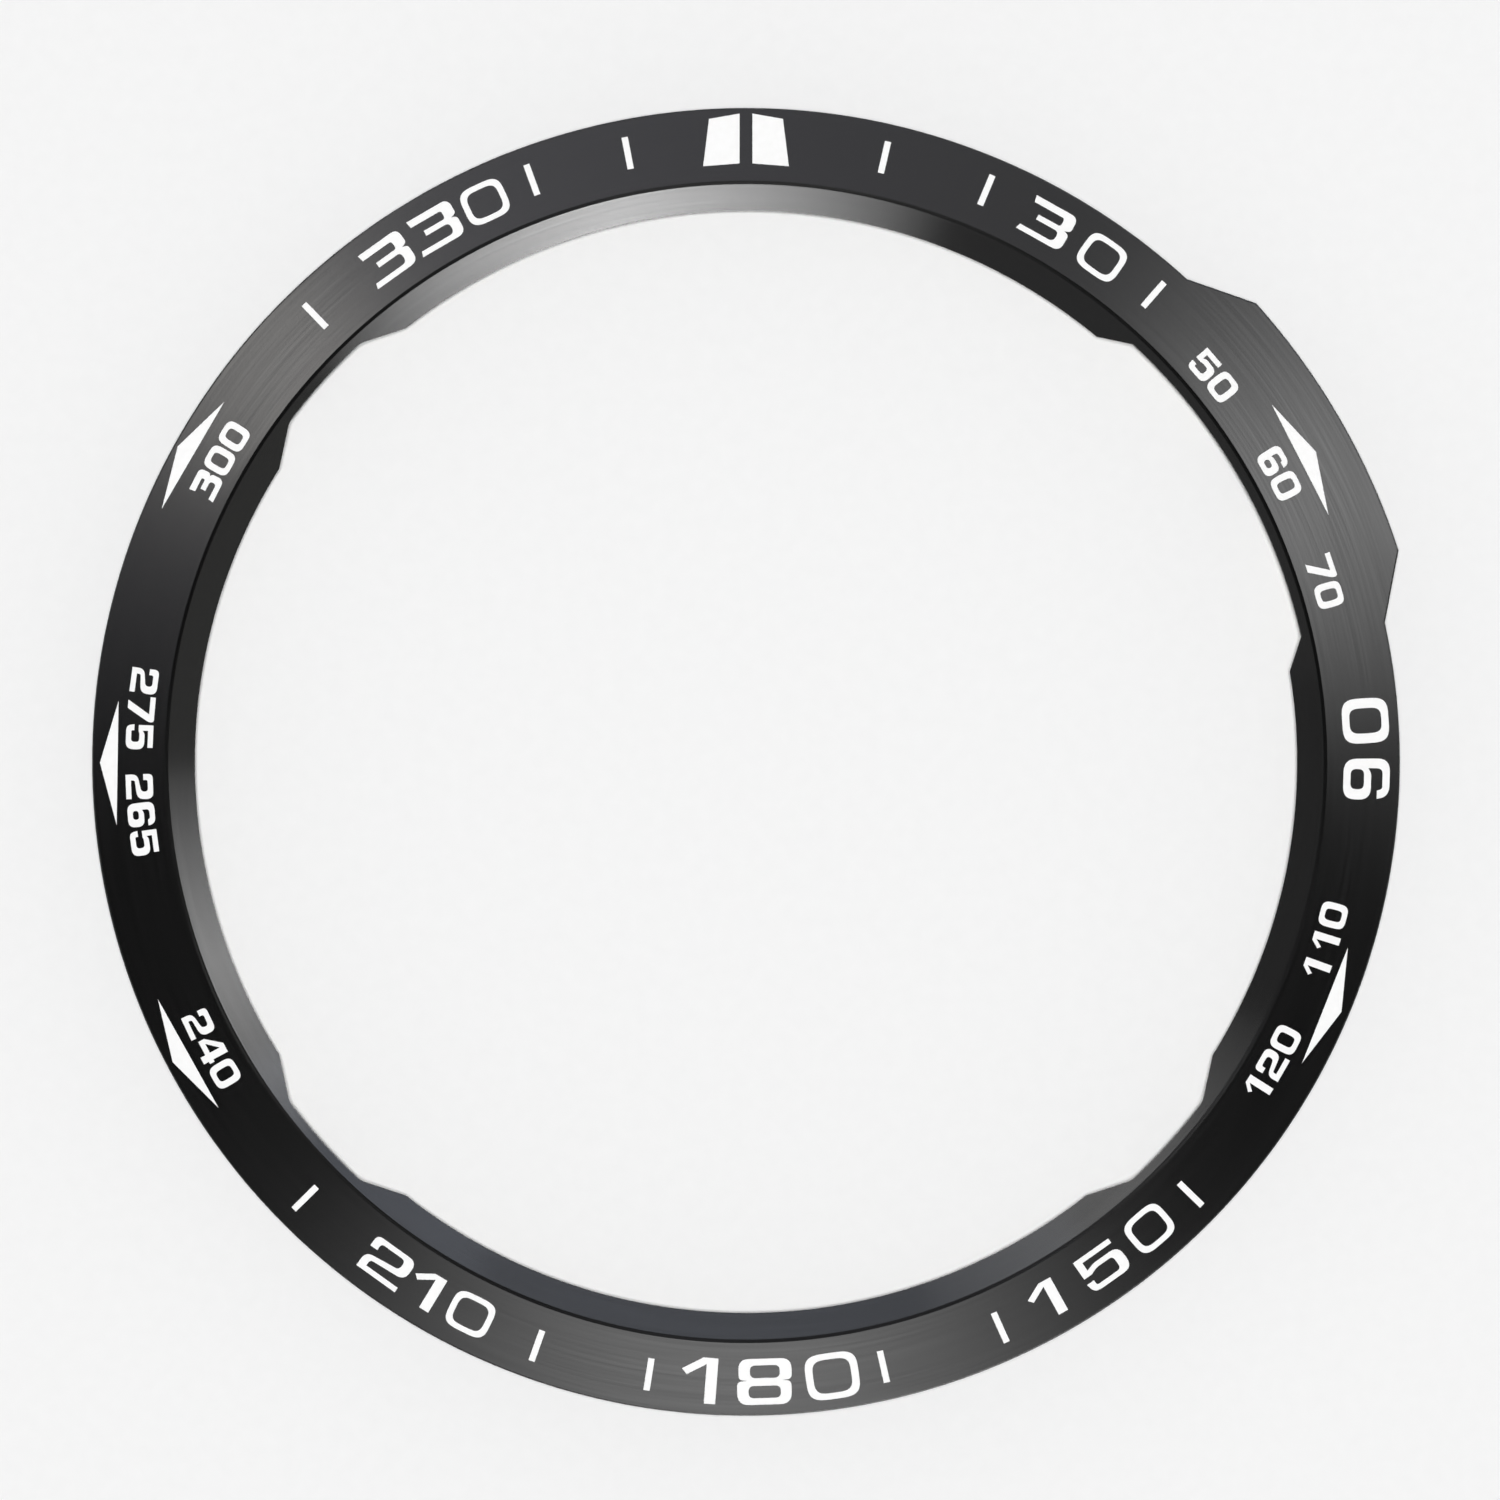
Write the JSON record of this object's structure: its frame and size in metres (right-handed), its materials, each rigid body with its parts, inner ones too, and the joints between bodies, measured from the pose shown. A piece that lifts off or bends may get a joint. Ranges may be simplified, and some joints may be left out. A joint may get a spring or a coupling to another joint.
{
  "type": "watch bezel",
  "caption": "Thin stick-on bezel ring for a sports watch: conical engraved top face, button guard, notched inner skirt and adhesive tape inside.",
  "frame": {"origin": "on the ring's axis, at the height of its lower rim", "axes": "+Z along the ring's axis towards the wearer's eye, +Y towards 12 o'clock, +X towards 3 o'clock"},
  "size_m": [0.047, 0.047, 0.0023],
  "materials": {
    "coated_steel": "stainless steel, brushed round the ring, with a black vapour-deposited coating",
    "mark_paint": "matt white enamel wiped into engraved pockets",
    "tape": "thin double-sided foam tape, off-white, with a slightly glossy adhesive face"
  },
  "bodies": {
    "root": {"bezel_ring": "coated_steel", "index_left": "mark_paint", "index_right": "mark_paint", "pointer_2_oclock": "mark_paint", "pointer_4_oclock": "mark_paint", "pointer_8_oclock": "mark_paint", "pointer_9_oclock": "mark_paint", "pointer_10_oclock": "mark_paint", "tick_01": "mark_paint", "tick_02": "mark_paint", "tick_03": "mark_paint", "tick_04": "mark_paint", "tick_05": "mark_paint", "tick_06": "mark_paint", "tick_07": "mark_paint", "tick_08": "mark_paint", "tick_09": "mark_paint", "tick_10": "mark_paint", "tick_11": "mark_paint", "tick_12": "mark_paint", "tape_right": "tape", "tape_bottom": "tape", "tape_left": "tape", "tape_top": "tape"}
  },
  "joints": []
}
